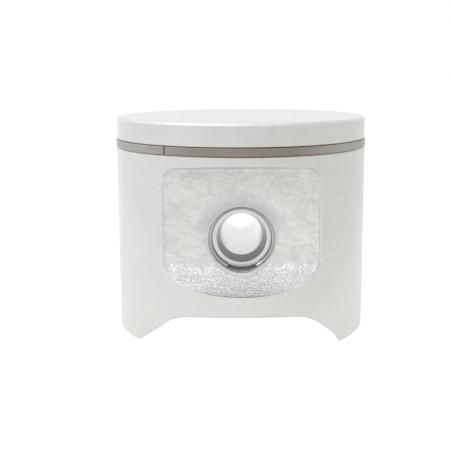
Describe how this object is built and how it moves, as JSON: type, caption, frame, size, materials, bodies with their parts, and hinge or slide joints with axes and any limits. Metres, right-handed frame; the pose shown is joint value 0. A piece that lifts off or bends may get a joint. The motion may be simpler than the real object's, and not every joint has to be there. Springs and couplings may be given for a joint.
{
  "type": "engine piston",
  "caption": "Flat-topped two-stroke engine piston with its compression ring, ring peg, hollow gudgeon pin and wire circlips.",
  "frame": {"origin": "the middle of the gudgeon pin's axis, on the piston's own axis", "axes": "+Z to the crown along the piston's axis, +Y along the gudgeon pin to the clip that comes out, +X across the thrust faces"},
  "size_m": [0.05, 0.05, 0.0424],
  "materials": {
    "machined_aluminium": "satin",
    "ring_iron": "satin",
    "peg_steel": "satin",
    "pin_steel": "polished",
    "spring_steel": "satin"
  },
  "bodies": {
    "piston": {"piston_body": "machined_aluminium", "ring_peg": "peg_steel", "circlip_front": "spring_steel"},
    "ring": {"piston_ring": "ring_iron"},
    "rear_clip": {"circlip_rear": "spring_steel"},
    "pin": {"gudgeon_pin": "pin_steel"}
  },
  "joints": [
    {"name": "ring_turn", "type": "hinge", "parent": "piston", "child": "ring", "pos_m": [0, 0, 0.0166], "axis": [0, 0, 1], "range_deg": [-0.5, 0.5]},
    {"name": "pin_draw", "type": "slide", "parent": "piston", "child": "rear_clip", "axis": [0, 1, 0], "range_m": [0, 0.042], "deforming": ["circlip_rear"]},
    {"name": "pin_spin", "type": "hinge", "parent": "rear_clip", "child": "pin", "pos_m": [0, 0, 0], "axis": [0, 1, 0], "continuous": true}
  ]
}
